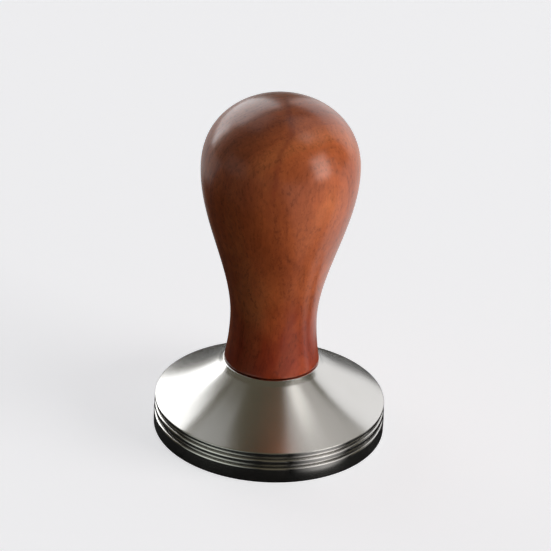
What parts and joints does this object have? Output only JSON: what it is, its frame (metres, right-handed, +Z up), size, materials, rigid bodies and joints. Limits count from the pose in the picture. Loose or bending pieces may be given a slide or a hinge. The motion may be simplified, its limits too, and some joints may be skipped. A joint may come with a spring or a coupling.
{
  "type": "espresso tamper",
  "caption": "Espresso tamper: turned steel piston base with a grooved rim and a hollow shoulder, and a bulb-shaped wooden handle that unscrews.",
  "frame": {"origin": "centre of the flat face that presses the coffee, on the tamper's axis", "axes": "+Z up the tamper's axis, from the pressing face to the handle's crown; X and Y are free, because the tamper is round"},
  "size_m": [0.058, 0.058, 0.088],
  "materials": {
    "base_steel": "finely turned and polished stainless steel",
    "washer_rubber": "matt black rubber",
    "stud_steel": "bright rolled thread",
    "insert_brass": "turned brass",
    "handle_wood": "red-brown hardwood under a satin lacquer"
  },
  "bodies": {
    "base": {"tamper_base": "base_steel"},
    "washer": {"seat_washer": "washer_rubber"},
    "handle": {"wooden_handle": "handle_wood", "threaded_insert": "insert_brass", "stud": "stud_steel"}
  },
  "joints": [
    {"name": "handle_turn", "type": "hinge", "parent": "base", "child": "washer", "pos_m": [0, 0, 0.0187], "axis": [0, 0, 1], "range_deg": [0, 2880]},
    {"name": "handle_lift", "type": "slide", "parent": "washer", "child": "handle", "axis": [0, 0, 1], "range_m": [0, 0.01]}
  ],
  "couplings": [
    {"joint": "handle_lift", "follows": "handle_turn", "m_per_rad": 0.00019894}
  ]
}
